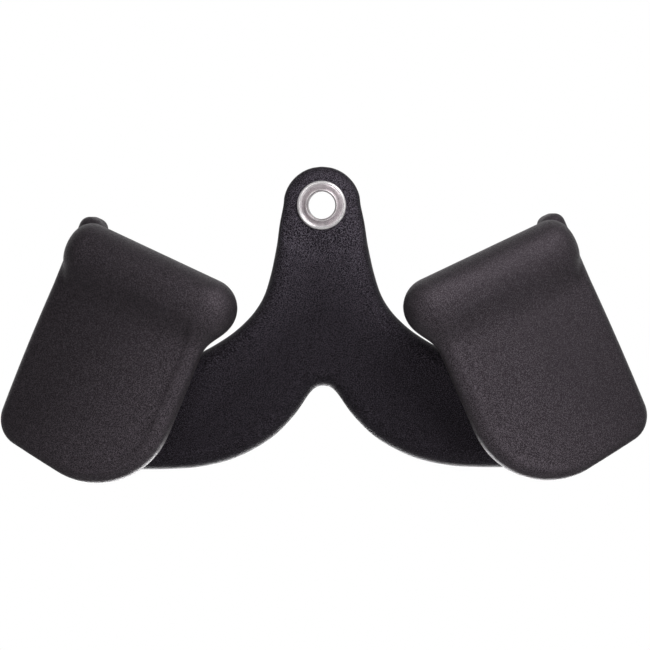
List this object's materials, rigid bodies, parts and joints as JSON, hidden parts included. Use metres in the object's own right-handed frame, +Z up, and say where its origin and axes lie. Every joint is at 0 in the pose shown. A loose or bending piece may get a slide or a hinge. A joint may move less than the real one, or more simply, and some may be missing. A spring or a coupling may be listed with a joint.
{
  "type": "close-grip cable handle",
  "caption": "Close-grip pulldown handle: a Y-shaped yoke hung from a flanged eyelet carries two moulded palm paddles with thick rolled ridges.",
  "frame": {"origin": "centre of the eyelet's hole, in the middle plane of the yoke", "axes": "+Z up along the pull of the cable, +X to the right as the palm faces are seen, -Y towards the user's palms"},
  "size_m": [0.3792, 0.0652, 0.1836],
  "materials": {
    "grip_skin": "fine sand-grain moulded polyurethane",
    "yoke_skin": "fine sand-grain moulded polyurethane",
    "eyelet_steel": "polished stainless steel",
    "core_steel": "plain mill steel under the skin",
    "weld_steel": "as-welded bead",
    "plug_plastic": "plain moulded plug"
  },
  "bodies": {
    "root": {"yoke_cover": "yoke_skin", "yoke_plate": "core_steel", "eyelet_barrel": "eyelet_steel", "eyelet_washer": "eyelet_steel", "left_grip_cover": "grip_skin", "left_ridge_tube": "core_steel", "left_ridge_plug_inner": "plug_plastic", "left_ridge_plug_outer": "core_steel", "left_palm_plate": "core_steel", "left_finger_stop_plate": "core_steel", "left_finger_stop_bead": "weld_steel", "left_ridge_bead_front": "weld_steel", "left_ridge_bead_back": "weld_steel", "left_gusset_upper": "core_steel", "left_gusset_lower": "core_steel", "left_arm_bead_upper": "weld_steel", "left_arm_bead_lower": "weld_steel", "left_palm_bead_upper": "weld_steel", "left_palm_bead_lower": "weld_steel", "right_grip_cover": "grip_skin", "right_ridge_tube": "core_steel", "right_ridge_plug_inner": "plug_plastic", "right_ridge_plug_outer": "core_steel", "right_palm_plate": "core_steel", "right_finger_stop_plate": "core_steel", "right_finger_stop_bead": "weld_steel", "right_ridge_bead_front": "weld_steel", "right_ridge_bead_back": "weld_steel", "right_gusset_upper": "core_steel", "right_gusset_lower": "core_steel", "right_arm_bead_upper": "weld_steel", "right_arm_bead_lower": "weld_steel", "right_palm_bead_upper": "weld_steel", "right_palm_bead_lower": "weld_steel"}
  },
  "joints": []
}
